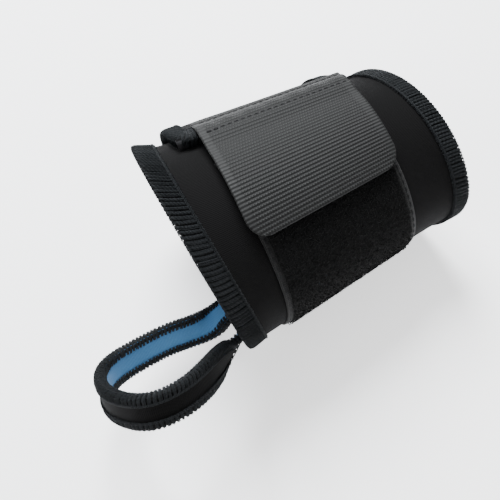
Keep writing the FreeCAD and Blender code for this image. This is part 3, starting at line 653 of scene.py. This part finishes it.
inner_edge = overlock("inner_edge", inner_end_place, 74.0, 6.5, -0.35, PANEL_OUT + 0.25,
                      start=-34.0, strands=3, pitch=1.8, strand=0.17)
finish_overlock(inner_edge, "wrap", "inner_end_overlock")
print("inner edge", len(inner_edge.data.polygons), "faces")

# %% [markdown]
# The pile panel is a woven backing with a plain selvedge, stitched down all round. Its pile is made
# of thousands of tiny loops that lean every way, over a dark felted ground.


# %% The pile panel
def stitch_row(name, place, ends, length=2.3, gap=0.75, radius=0.21, rise=0.16, rows=1, step=0.9,
               material=SEAM_THREAD):
    """A row of separate stitches; place(along, sideways, height) from the cloth's surface."""
    number = max(1, int((ends[1] - ends[0]) / (length + gap)))
    pitch = (ends[1] - ends[0]) / number
    share = np.linspace(0, 1, 7)
    start = ends[0] + np.arange(number)[:, None] * pitch + gap / 2
    along = start + share * (pitch - gap)
    height = np.sin(share * np.pi) ** 0.45 * (rise + 0.3) - 0.3 + 0 * along
    made = []
    for row in range(rows):
        side = np.full_like(along, row * step) + rng.normal(0, 0.04, (number, 1))
        paths = place(along, side, height)
        up = place(along, side, height + 1.0) - paths
        made.append(tubes(name, paths, radius, 6, material, up))
    return join(name, made)


PILE_X = (-26.8, 31.6)
PILE_ARC = (arc_of(84.0), arc_of(214.0))
SELVEDGE = 2.2
BACKING_IN, BACKING_OUT = 3.95, 4.65
GROUND_IN, GROUND_OUT = 4.70, 5.15
LOOP_FOOT = 5.05


def on_wall(x, arc, depth):
    return wall(x, degrees_of(arc), depth)


backing = laid_sheet("pile_panel", on_wall, PILE_ARC, PILE_X, BACKING_IN, BACKING_OUT, 40, 120,
                     (BACKING,))
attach(backing, "wrap")
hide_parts("pile_backing")
pile_x = (PILE_X[0] + SELVEDGE, PILE_X[1] - SELVEDGE)
pile_arc = (PILE_ARC[0] + SELVEDGE, PILE_ARC[1] - SELVEDGE)
ground = laid_sheet("pile_ground", on_wall, pile_arc, pile_x, GROUND_IN, GROUND_OUT, 70, 130,
                    (PILE,))


def pile_loops(spacing=1.08, height=0.78, span=0.55):
    """The small loops of the pile."""
    x, arc = np.meshgrid(np.arange(pile_x[0] + 0.2, pile_x[1], spacing),
                         np.arange(pile_arc[0] + 0.2, pile_arc[1], spacing), indexing="ij")
    x = (x + rng.uniform(-0.45, 0.45, x.shape)).ravel()[:, None]
    arc = (arc + rng.uniform(-0.45, 0.45, arc.shape)).ravel()[:, None]
    turn = rng.uniform(0, np.pi, x.shape)
    lean = rng.uniform(-0.5, 0.5, x.shape)
    share = np.linspace(0, 1, 5)
    swing = -np.cos(share * np.pi) * span * rng.uniform(0.6, 1.2, x.shape)
    lift = np.sin(share * np.pi)
    out = LOOP_FOOT + lift * height * rng.uniform(0.65, 1.0, x.shape)
    shift = lift * lean
    paths = on_wall(x + swing * np.cos(turn) - shift * np.sin(turn),
                    arc + swing * np.sin(turn) + shift * np.cos(turn), out)
    up = np.stack([-np.sin(turn), np.cos(turn), 0.3 + 0 * turn], -1)
    return tubes("pile_loops_raised", paths, 0.13, 3, PILE, up)


pile = join("pile_fuzz", [ground, pile_loops()])
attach(pile, "wrap")
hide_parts("pile_loops")
print("pile:", len(pile.data.polygons), "faces")


# %% Stitches round the pile panel
def frame_rows():
    inset = 1.0
    left, right = PILE_X[0] + inset, PILE_X[1] - inset
    first, last = PILE_ARC[0] + inset, PILE_ARC[1] - inset
    sides = [(lambda e, s, h, x=x: on_wall(x + s, e, BACKING_OUT + h), (first, last))
             for x in (left, right)]
    ends = [(lambda e, s, h, a=a: on_wall(e, a + s, BACKING_OUT + h), (left, right))
            for a in (first, last)]
    return [stitch_row("pile_row", place, ends_of, radius=0.17) for place, ends_of in sides + ends]


pile_stitches = join("pile_stitches", frame_rows())
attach(pile_stitches, "wrap")
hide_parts("pile_stitching")
print("pile stitches:", len(pile_stitches.data.polygons), "faces")

# %% [markdown]
# The tail strap starts as a thin root strip sewn on the palm side, bends round a seam bead, and
# lies over the wrap up to the back of the hand. It is one laminate, so one sheet carries it across
# the fold.

# %% The tail strap
TAIL_X = (-30.0, 35.0)
TAIL_LEAN = -0.12
FOLD_Y = 23.5
TAIL_MIDDLE = 6.15
TAIL_IN, TAIL_OUT = 4.2, 8.1
ROOT_IN, ROOT_OUT = 3.97, 5.55
ROOT_TURN_RADIUS = 44.0
FOLD_START, FOLD_SPREAD = 3.5, 7.0
TAIL_EDGE = 6.0
ARCHES = [half_height + ((half_width - side) ** 2 - (half_height - side) ** 2)
          / (2 * (half_height - side)) + TAIL_MIDDLE for half_width, half_height, side in SECTIONS]
TAIL_END = 67.5
TAIL_LENGTH = float(arc_of(TAIL_END) - arc_of(-57.0)) * 1.06
ROOT = -9.5


def fold_degrees(x):
    share = (x - STRAIGHT[0]) / (STRAIGHT[1] - STRAIGHT[0])
    arch = ARCHES[0] + (ARCHES[1] - ARCHES[0]) * share
    return -np.degrees(np.arccos(FOLD_Y / arch))


def tail_place(x, reach, depth):
    """Places on the tail: x, distance past the fold line, depth."""
    fold = fold_degrees(np.clip(x, *STRAIGHT))
    share = np.maximum(reach, 0) / TAIL_LENGTH
    turned = degrees_of(arc_of(fold) + (arc_of(TAIL_END) - arc_of(fold)) * share)
    turned = turned + np.degrees(np.minimum(reach, 0) / ROOT_TURN_RADIUS)
    lean = TAIL_LEAN * (TAIL_X[1] - x) / (TAIL_X[1] - TAIL_X[0])
    return wall(x + lean * wall(x, turned, depth)[..., 2], turned, depth)


def tail_outer(x, reach):
    return ROOT_OUT + (TAIL_OUT - ROOT_OUT) * smooth((reach + FOLD_START) / FOLD_SPREAD)


def tail_inner(x, reach):
    return ROOT_IN + (TAIL_IN - ROOT_IN) * smooth((reach + FOLD_START) / FOLD_SPREAD)


tail = laid_sheet("tail_strap", tail_place, (ROOT, TAIL_LENGTH - 0.9),
                  (TAIL_X[0] + 0.9, TAIL_X[1] - 0.9), tail_inner, tail_outer, 56, 120,
                  (JERSEY, LINING, FOAM), hollow=0.25)
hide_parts("tail_foam", "tail_face", "tail_lining", "tail_root_strip", "tail_seam_bead")
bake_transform(tail)
print("tail strap cut flat:", 0.068, round((TAIL_LENGTH - ROOT) * MM, 4))


# %% The tail's stitched edge
def u_path(left, right, root, end, radius):
    """Points and inward directions along the sides and the rounded end of a strap."""
    turn = np.linspace(0, np.pi / 2, 24)
    bends = [((left + radius - radius * np.cos(turn)), (end - radius + radius * np.sin(turn))),
             ((right - radius + radius * np.sin(turn)), (end - radius + radius * np.cos(turn)))]
    x = np.concatenate([np.full(90, left), bends[0][0], np.linspace(left + radius,
                        right - radius, 80)[1:-1], bends[1][0], np.full(90, right)])
    y = np.concatenate([np.linspace(root, end - radius, 91)[:-1], bends[0][1],
                        np.full(78, end), bends[1][1],
                        np.linspace(end - radius, root, 91)[1:]])
    points = np.stack([x, y], -1)
    along = np.gradient(points, axis=0)
    along /= np.linalg.norm(along, axis=-1, keepdims=True)
    inward = np.stack([along[:, 1], -along[:, 0]], -1)
    length = np.concatenate([[0], np.linalg.norm(np.diff(points, axis=0), axis=1).cumsum()])
    return points, inward, length


def strap_edge(place, points, inward, length):
    """Places along a strap's edge, from places on the strap."""
    def edge_place(along, reach, depth):
        spot = [np.interp(along, length, points[:, axis]) for axis in (0, 1)]
        turned = [np.interp(along, length, inward[:, axis]) for axis in (0, 1)]
        return place(spot[0] + turned[0] * reach, spot[1] + turned[1] * reach, depth)
    return edge_place


tail_points, tail_inward, tail_run = u_path(*TAIL_X, -1.0, TAIL_LENGTH, 6.0)
tail_edge = overlock("tail_edge", strap_edge(tail_place, tail_points, tail_inward, tail_run),
                     float(tail_run[-1]), TAIL_EDGE, 4.0, 8.95)
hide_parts("tail_overlock")
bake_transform(tail_edge)
print("tail edge", len(tail_edge.data.polygons), "faces")

# %% Stitches along the tail's root
for number, reach in ((1, -4.0), (2, -8.0)):
    row = stitch_row(f"tail_seam_{number}",
                     lambda e, s, h, r=reach: tail_place(e, r + s + 0 * e, tail_outer(e, r) + h),
                     (TAIL_X[0] + 3.0, TAIL_X[1] - 3.0))
    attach(row, "wrap")
    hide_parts(f"tail_seam_stitching_{number}")
print("root stitches done")

# %% [markdown]
# The hook tab is one piece of ribbed webbing. Its sewn end lies on the tail, held by two rows of
# stitches that pull it down so that it puffs up between them. Past the tail's end it steps down
# onto the pile, and its free corners are rounded.

# %% The hook tab
TAB_LEAN = 0.089
TAB_ARC = (float(arc_of(58.5)), float(arc_of(124.0)))
FOLD_ARC = (float(arc_of(71.0)), float(arc_of(80.0)))
TAB_HIGH, TAB_LOW, TAB_THICK = 9.10, 7.10, 1.0
TAB_ROWS = (1.8, 8.4)
CORNER = 7.0


def tab_place(x, arc, depth):
    """Places on the tab, between side edges that lean."""
    degrees = degrees_of(arc)
    return wall(leaning(x, TAB_LEAN, 0.0, degrees, depth), degrees, depth)


def tab_depth(x, arc):
    """The tab's inner face: sewn down on the tail, then down on the pile."""
    depth = TAB_HIGH + (TAB_LOW - TAB_HIGH) * smooth((arc - FOLD_ARC[0] + 1.5)
                                                     / (FOLD_ARC[1] - FOLD_ARC[0] + 1.5))
    reach = arc - TAB_ARC[0]
    for row in TAB_ROWS:
        depth = depth - 0.32 * np.exp(-((reach - row - 0.4) / 0.8) ** 2)
    puff = np.exp(-((reach - sum(TAB_ROWS) / 2 - 0.4) / 1.8) ** 2)
    depth = depth + puff * (0.42 + 0.14 * np.sin(x * 0.7))
    edge = smooth((arc - TAB_ARC[1] + 14.0) / 14.0)
    return depth + edge * (0.22 + 0.22 * np.sin(x * 0.12 + 1.0))


def tab_sheet():
    arc = np.concatenate([np.linspace(TAB_ARC[0], TAB_ARC[0] + 12.0, 40),
                          np.linspace(TAB_ARC[0] + 12.0, TAB_ARC[1] - CORNER, 50)[1:],
                          TAB_ARC[1] - CORNER + CORNER * np.sin(np.linspace(0, np.pi / 2, 22))[1:]])
    past = np.clip(arc - (TAB_ARC[1] - CORNER), 0, CORNER)
    inset = CORNER - np.sqrt(CORNER ** 2 - past ** 2)
    share = np.linspace(0, 1, 90)[:, None]
    x = TAB_SIDES[0] + inset + (TAB_SIDES[1] - TAB_SIDES[0] - 2 * inset) * share
    arc = np.broadcast_to(arc, x.shape)
    low = tab_depth(x, arc)
    return shell("hook_tab_webbing", tab_place(x, arc, low + TAB_THICK), tab_place(x, arc, low),
                 np.stack([x, arc], -1), (TAB,))


webbing = tab_sheet()
crease = wall(3.0, 71.0, 9.6) * MM
step_out = wall(3.0, 71.5, 9.6) * MM - crease
step_out /= np.linalg.norm(step_out)
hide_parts("hook_tab", "tab_sewn_end")
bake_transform(webbing)

# %% Stitches along the tab's sewn end
for number, reach in enumerate(TAB_ROWS, start=1):
    arc = TAB_ARC[0] + reach + 0.4

    def row_place(e, s, h, arc=arc):
        return tab_place(e, arc + s + 0 * e, tab_depth(e, arc) + TAB_THICK + h)

    ends = (TAB_SIDES[0] + 2.4, TAB_SIDES[1] - 0.9)
    parts = [stitch_row("tab_row", row_place, ends, length=2.0, gap=0.55, radius=0.2, rise=0.10),
             stitch_row("back_tack", lambda e, s, h: row_place(e, s + 0.35, h),
                        (ends[0], ends[0] + 5.2), length=2.0, gap=0.55, radius=0.18, rise=0.12)]
    row = join(f"tab_stitches_{number}", parts)
    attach(row, "tail")
    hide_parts(f"tab_stitch_row_{number}")
print("tab stitches done")

# %% [markdown]
# The thumb loop is a narrow strip of the same laminate. It is sewn inside the distal edge at two
# places, comes out under the stitched rim, twists and swings round the thumb. Its path is a smooth
# curve through a few points, in the loop's own plane, carried on to the anchors on the lining.

# %% The thumb loop's path
LOOP_NEAR = np.array((-48.25, -37.75, -6.56))
LOOP_OUT = np.array((-0.97872, 0.20513, 0.00534))
LOOP_SIDE = np.array((-0.15227, -0.74347, 0.65120))
LOOP_ACROSS = np.array((0.13755, 0.63653, 0.75889))
LOOP_REACH, LOOP_BULGE, LOOP_GAP = 44.0, 25.0, 28.5
LOOP_HALF = 5.75
LOOP_SAMPLES = 260
LOOP_POINTS = [(0.00, 0.00), (0.16 * LOOP_REACH, 0.40 * LOOP_BULGE),
               (0.42 * LOOP_REACH, 0.86 * LOOP_BULGE), (0.66 * LOOP_REACH, 0.94 * LOOP_BULGE),
               (0.86 * LOOP_REACH, 0.66 * LOOP_BULGE), (0.99 * LOOP_REACH, 0.10 * LOOP_BULGE),
               (0.93 * LOOP_REACH, -0.42 * LOOP_GAP), (0.70 * LOOP_REACH, -0.68 * LOOP_GAP),
               (0.36 * LOOP_REACH, -0.86 * LOOP_GAP), (0.00, -LOOP_GAP)]


def smooth_curve(points, count):
    """A natural cubic curve through points, sampled evenly."""
    points = np.asarray(points, float)
    knots = np.concatenate([[0], np.linalg.norm(np.diff(points, axis=0), axis=1).cumsum()])
    gaps = np.diff(knots)
    size = len(points)
    system, right = np.eye(size), np.zeros((size, 3))
    for row in range(1, size - 1):
        system[row, row - 1:row + 2] = (gaps[row - 1], 2 * (gaps[row - 1] + gaps[row]), gaps[row])
        right[row] = 6 * ((points[row + 1] - points[row]) / gaps[row]
                          - (points[row] - points[row - 1]) / gaps[row - 1])
    second = np.linalg.solve(system, right)
    place = np.linspace(0, knots[-1], count)
    piece = np.clip(np.searchsorted(knots, place) - 1, 0, size - 2)
    gap = gaps[piece][:, None]
    after = (place[:, None] - knots[piece][:, None]) / gap
    before = 1 - after
    return (before * points[piece] + after * points[piece + 1]
            + gap ** 2 / 6 * ((before ** 3 - before) * second[piece]
                              + (after ** 3 - after) * second[piece + 1]))


def anchor_points(degrees):
    """Points from the anchor on the lining out to the rim, and the width's direction there."""
    inside = []
    for inward, depth in ((19.0, -0.72), (9.0, -1.15), (1.0, -1.85)):
        x = leaning(DISTAL_RIM[0] + inward, *DISTAL_RIM[1:], degrees, depth)
        inside.append(wall(x, degrees, depth))
    around = wall(-44.0, degrees + 0.5, 0.0) - wall(-44.0, degrees - 0.5, 0.0)
    return np.array(inside), around / np.linalg.norm(around)


near_points, near_width = anchor_points(207.0)
far_points, far_width = anchor_points(246.0)
plane_points = np.array([LOOP_NEAR + u * LOOP_OUT + v * LOOP_SIDE for u, v in LOOP_POINTS])
loop_line = smooth_curve(np.concatenate([near_points, plane_points, far_points[::-1]]),
                         LOOP_SAMPLES)
loop_along = np.gradient(loop_line, axis=0)
loop_along /= np.linalg.norm(loop_along, axis=-1, keepdims=True)
out_of_rim = (loop_line - LOOP_NEAR) @ LOOP_OUT
in_plane = smooth((out_of_rim + 8.0) / 20.0)[:, None]
near_strand = (np.arange(LOOP_SAMPLES) < LOOP_SAMPLES // 2)[:, None]
for width in (near_width, far_width):
    if width @ LOOP_ACROSS < 0:
        width *= -1
wall_width = np.where(near_strand, near_width, far_width)
loop_width = wall_width * (1 - in_plane) + LOOP_ACROSS * in_plane
loop_width -= (loop_width * loop_along).sum(-1, keepdims=True) * loop_along
loop_width /= np.linalg.norm(loop_width, axis=-1, keepdims=True)
loop_normal = np.cross(loop_along, loop_width)
middle = len(loop_line) // 2
if loop_normal[middle] @ (loop_line[middle] - loop_line.mean(0)) < 0:
    loop_normal *= -1
loop_run = np.concatenate([[0], np.linalg.norm(np.diff(loop_line, axis=0), axis=1).cumsum()])
loop_full = 0.42 + 0.58 * smooth((out_of_rim + 9.5) / 9.0)
low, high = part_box("loop_strip")
print("loop strip box:", [round(v / MM, 1) for v in (*low, *high)])
print("loop path box:", np.round(loop_line.min(0), 1), np.round(loop_line.max(0), 1))


# %% The thumb loop
def loop_place(along, across, depth):
    """Places on the loop: length along it, distance across it, depth from its middle."""
    def at(values):
        return np.stack([np.interp(along, loop_run, values[:, axis]) for axis in range(3)], -1)
    full = np.interp(along, loop_run, loop_full)
    return (at(loop_line) + at(loop_width) * np.asarray(across)[..., None]
            + at(loop_normal) * (np.asarray(depth) * full)[..., None])


def loop_edge_place(side):
    def place(along, inward, depth):
        along, inward, depth = np.broadcast_arrays(along, inward, depth)
        return loop_place(along, side * (LOOP_HALF - inward), depth)
    return place


loop_total = float(loop_run[-1])
STRIP_HALF = 5.3
along, across = np.meshgrid(np.linspace(0, loop_total, 200),
                            np.linspace(-STRIP_HALF, STRIP_HALF, 13), indexing="ij")
swell = 0.25 * (1 - (across / STRIP_HALF) ** 2)
strip = shell("thumb_loop_strip", loop_place(along, across, 1.35 + swell),
              loop_place(along, across, -1.30 - swell), np.stack([across, along], -1),
              (JERSEY, LINING, FOAM))
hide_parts("loop_strip", "loop_lining", "loop_anchor_1", "loop_anchor_2")
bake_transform(strip)
for name, side, node in (("loop_upper_edge", 1, "loop_upper_overlock"),
                         ("loop_lower_edge", -1, "loop_lower_overlock")):
    edge = overlock(name, loop_edge_place(side), loop_total - 16.0, 2.9, -2.05, 2.05, start=8.0,
                    strands=3, slant=0.15, strand=0.19, pitch=1.45)
    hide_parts(node)
    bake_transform(edge)
print("thumb loop cut flat:", 0.0115, round(loop_total * MM, 4))


# %% Bar stitches on the loop's ends
def bar_stitches(name, centre, span=4.6, count=11):
    """A dense zigzag of stitches across one end of the loop."""
    turn = np.linspace(-1, 1, count * 2 + 1)
    zigzag = np.where(np.arange(len(turn)) % 2 == 0, -0.75, 0.75)
    way = loop_place(centre + zigzag, turn * span, np.full(len(turn), -2.0))[None]
    up = loop_place(centre + zigzag, turn * span, np.full(len(turn), -4.0))[None] - way
    return tubes(name, way, 0.17, 6, SEAM_THREAD, up)


for number, centre in ((1, 3.2), (2, loop_total - 3.2)):
    bar = bar_stitches(f"bar_stitches_{number}", centre)
    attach(bar, "wrap")
    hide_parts(f"loop_bartack_{number}")
print("bar stitches done")

# %% [markdown]
# The stay pocket is a strip of twill on the palm side. Its middle stands off the wrap to make room
# for the stay, its two flanges and its distal end are sewn down, and the proximal end is open.

# %% The stay pocket
POCKET_X = (-28.0, 38.0)
POCKET_HALF, POCKET_FLANGE = 10.25, 2.75
FLAT_HALF = 8.7
POCKET_LOW, CAVITY_LOW = -35.0, -34.33
POCKET_CLOSED = -26.6
FLANGE_IN, FLANGE_OUT = 3.97, 4.65


def palm_line(y, depth):
    """The height of the palm side's middle arc at a depth."""
    radius = 40.81 + depth
    return -27.0 - depth + radius - np.sqrt(radius ** 2 - y ** 2)


def pocket_height(x, y, depth, bottom, half):
    """From the sewn flange down to the flat outer face, rounded on the way."""
    side = smooth((POCKET_HALF + 0.3 - np.abs(y)) / (POCKET_HALF + 0.3 - half))
    end = smooth((x - POCKET_X[0]) / (POCKET_CLOSED - POCKET_X[0]))
    flange = palm_line(y, depth)
    return flange + (bottom - flange) * side * end


x = np.concatenate([np.linspace(POCKET_X[0], POCKET_CLOSED, 12),
                    np.linspace(POCKET_CLOSED, POCKET_X[1], 50)[1:]])
edge_y = POCKET_HALF + POCKET_FLANGE
y = np.concatenate([np.linspace(-edge_y, -8.0, 24)[:-1], np.linspace(-8.0, 8.0, 17),
                    np.linspace(8.0, edge_y, 24)[1:]])
x, y = np.meshgrid(x, y, indexing="ij")
outer = np.stack([x, y, pocket_height(x, y, FLANGE_OUT, POCKET_LOW, FLAT_HALF)], -1)
inner = np.stack([x, y, pocket_height(x, y, FLANGE_IN, CAVITY_LOW, FLAT_HALF - 0.4)], -1)
pocket = shell("stay_pocket_twill", outer, inner, np.stack([x, y], -1), (POCKET,))
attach(pocket, "wrap")
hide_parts("stay_pocket")
for number, side in ((1, -1), (2, 1)):
    place_y = side * (POCKET_HALF + 0.6 * POCKET_FLANGE)

    def flange_place(e, s, h, y=place_y):
        y = y + s + 0 * e
        return np.stack([e, y, palm_line(y, FLANGE_OUT) - h], -1)

    row = stitch_row(f"pocket_stitches_{number}", flange_place, (-26.5, 37.0), radius=0.17)
    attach(row, "wrap")
    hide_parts(f"pocket_stitching_{number}")
print("pocket done")

# %% [markdown]
# The stage is a pale floor under soft light from above and behind, as on a studio table. A low
# light at the front right keeps the palm side from going fully black.


# %% Floor, lights and camera
def soft_light(name, place, aim, size, power, tint=(1, 1, 1)):
    data = bpy.data.lights.new(name, "AREA")
    data.shape, data.size, data.energy, data.color = "DISK", size, power, tint
    light = bpy.data.objects.new(name, data)
    bpy.context.scene.collection.objects.link(light)
    light.location = place
    light.rotation_euler = (Vector(aim) - Vector(place)).to_track_quat("-Z", "Y").to_euler()
    return light


bpy.ops.mesh.primitive_plane_add(size=6.0, location=(0, 0, -0.0353))
floor = bpy.context.object
floor.name = "floor"
paper = Recipe("paper", Specular_IOR_Level=0.1, Emission_Strength=1.2)
paper.shader.inputs["Emission Color"].default_value = (1, 1, 1, 1)
paper.colour(paper.noise(0.002), (0.90, 0.90, 0.91), (0.92, 0.92, 0.92))
paper.roughness(paper.noise(0.01) * 0.1 + 0.85)
floor.data.materials.append(paper.material)

world = bpy.data.worlds.new("studio")
world.use_nodes = True
world.node_tree.nodes["Background"].inputs[0].default_value = (0.93, 0.95, 1.0, 1)
world.node_tree.nodes["Background"].inputs[1].default_value = 0.4
bpy.context.scene.world = world
soft_light("back_top", (0.10, 0.55, 0.75), (0, 0, 0), 0.55, 31.0, (0.96, 0.98, 1.0))
soft_light("left", (-0.65, -0.10, 0.50), (-0.02, -0.01, 0), 0.45, 3.0)
soft_light("front_low", (0.30, -0.62, 0.18), (0.01, -0.02, 0), 0.40, 1.0, (1.0, 0.97, 0.93))

camera_data = bpy.data.cameras.new("camera")
camera_data.lens, camera_data.sensor_width = 50.4, 36.0
camera_data.shift_x, camera_data.shift_y = -0.08, -0.096
camera_data.clip_start = 0.01
camera = bpy.data.objects.new("camera", camera_data)
bpy.context.scene.collection.objects.link(camera)
azimuth, elevation = math.radians(-32.0), math.radians(55.0)
camera.location = Vector((math.sin(azimuth) * math.cos(elevation),
                          -math.cos(azimuth) * math.cos(elevation), math.sin(elevation))) * 0.270
camera.rotation_euler = (-camera.location).to_track_quat("-Z", "Y").to_euler()
bpy.context.scene.camera = camera
print("camera at", [round(v, 3) for v in camera.location])
